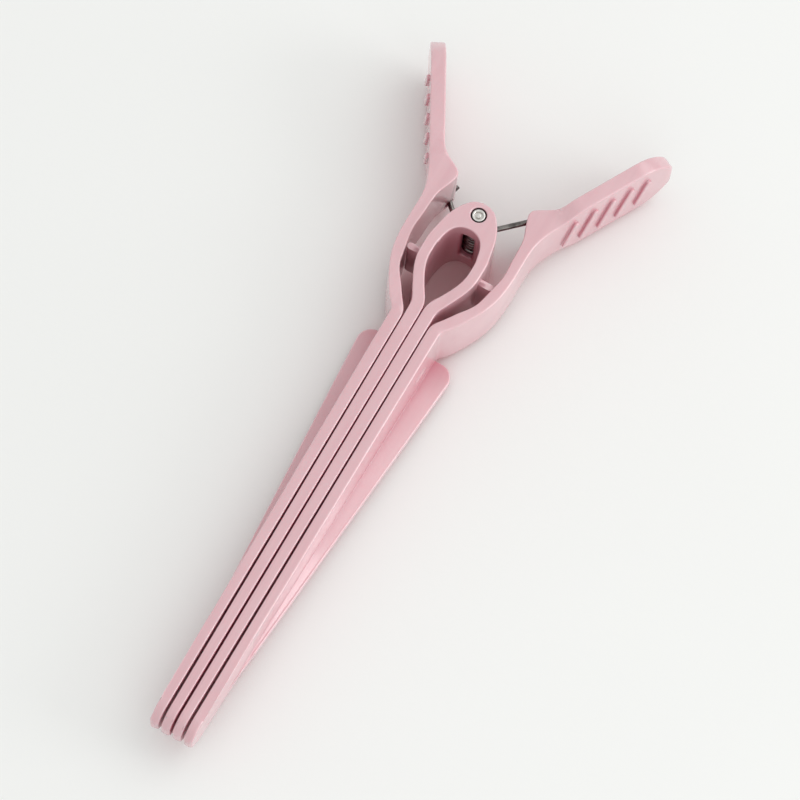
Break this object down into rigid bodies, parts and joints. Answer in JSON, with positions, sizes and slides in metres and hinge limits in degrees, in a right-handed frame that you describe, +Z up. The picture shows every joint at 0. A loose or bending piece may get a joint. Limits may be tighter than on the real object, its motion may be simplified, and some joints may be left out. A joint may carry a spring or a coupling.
{
  "type": "sectioning clip",
  "caption": "Hair sectioning clip: a teardrop loop fork between sprung, finned outer jaws with ribbed finger handles, a coil spring and a steel pin.",
  "frame": {"origin": "under the middle of the whole clip, on the surface it lies on", "axes": "+Y along the clip towards the finger handles, +Z up along the pivot pin's axis, +X across to the right jaw"},
  "size_m": [0.0394, 0.11, 0.012],
  "materials": {
    "rose_plastic": "satin moulded plastic, dusty rose",
    "spring_wire": "bright drawn spring wire",
    "pin_steel": "bright nickel-plated pin with ring-staked ends"
  },
  "bodies": {
    "fork": {"inner_fork": "rose_plastic", "pivot_pin": "pin_steel", "spring_coil": "spring_wire"},
    "leg_left": {"spring_leg_left": "spring_wire"},
    "leg_right": {"spring_leg_right": "spring_wire"},
    "jaw_left": {"outer_jaw_left": "rose_plastic"},
    "jaw_right": {"outer_jaw_right": "rose_plastic"}
  },
  "joints": [
    {"name": "right_leg_swing", "type": "hinge", "parent": "fork", "child": "leg_right", "pos_m": [0, 0.0318, 0.006], "axis": [0, 0, 1], "range_deg": [0, 26], "stiffness_Nm_per_rad": 0.08, "springref_deg": -51.57},
    {"name": "right_jaw_pivot", "type": "hinge", "parent": "leg_right", "child": "jaw_right", "pos_m": [0.00675, 0.0361, 0.006], "axis": [0, 0, 1], "range_deg": [-14.5, 0]},
    {"name": "left_leg_swing", "type": "hinge", "parent": "fork", "child": "leg_left", "pos_m": [0, 0.0318, 0.006], "axis": [0, 0, -1], "range_deg": [0, 26], "stiffness_Nm_per_rad": 0.08, "springref_deg": -51.57},
    {"name": "left_jaw_pivot", "type": "hinge", "parent": "leg_left", "child": "jaw_left", "pos_m": [-0.00675, 0.0361, 0.006], "axis": [0, 0, -1], "range_deg": [-14.5, 0]}
  ],
  "couplings": [
    {"joint": "right_jaw_pivot", "follows": "right_leg_swing", "ratio": -0.54615},
    {"joint": "left_jaw_pivot", "follows": "left_leg_swing", "ratio": -0.54615}
  ]
}
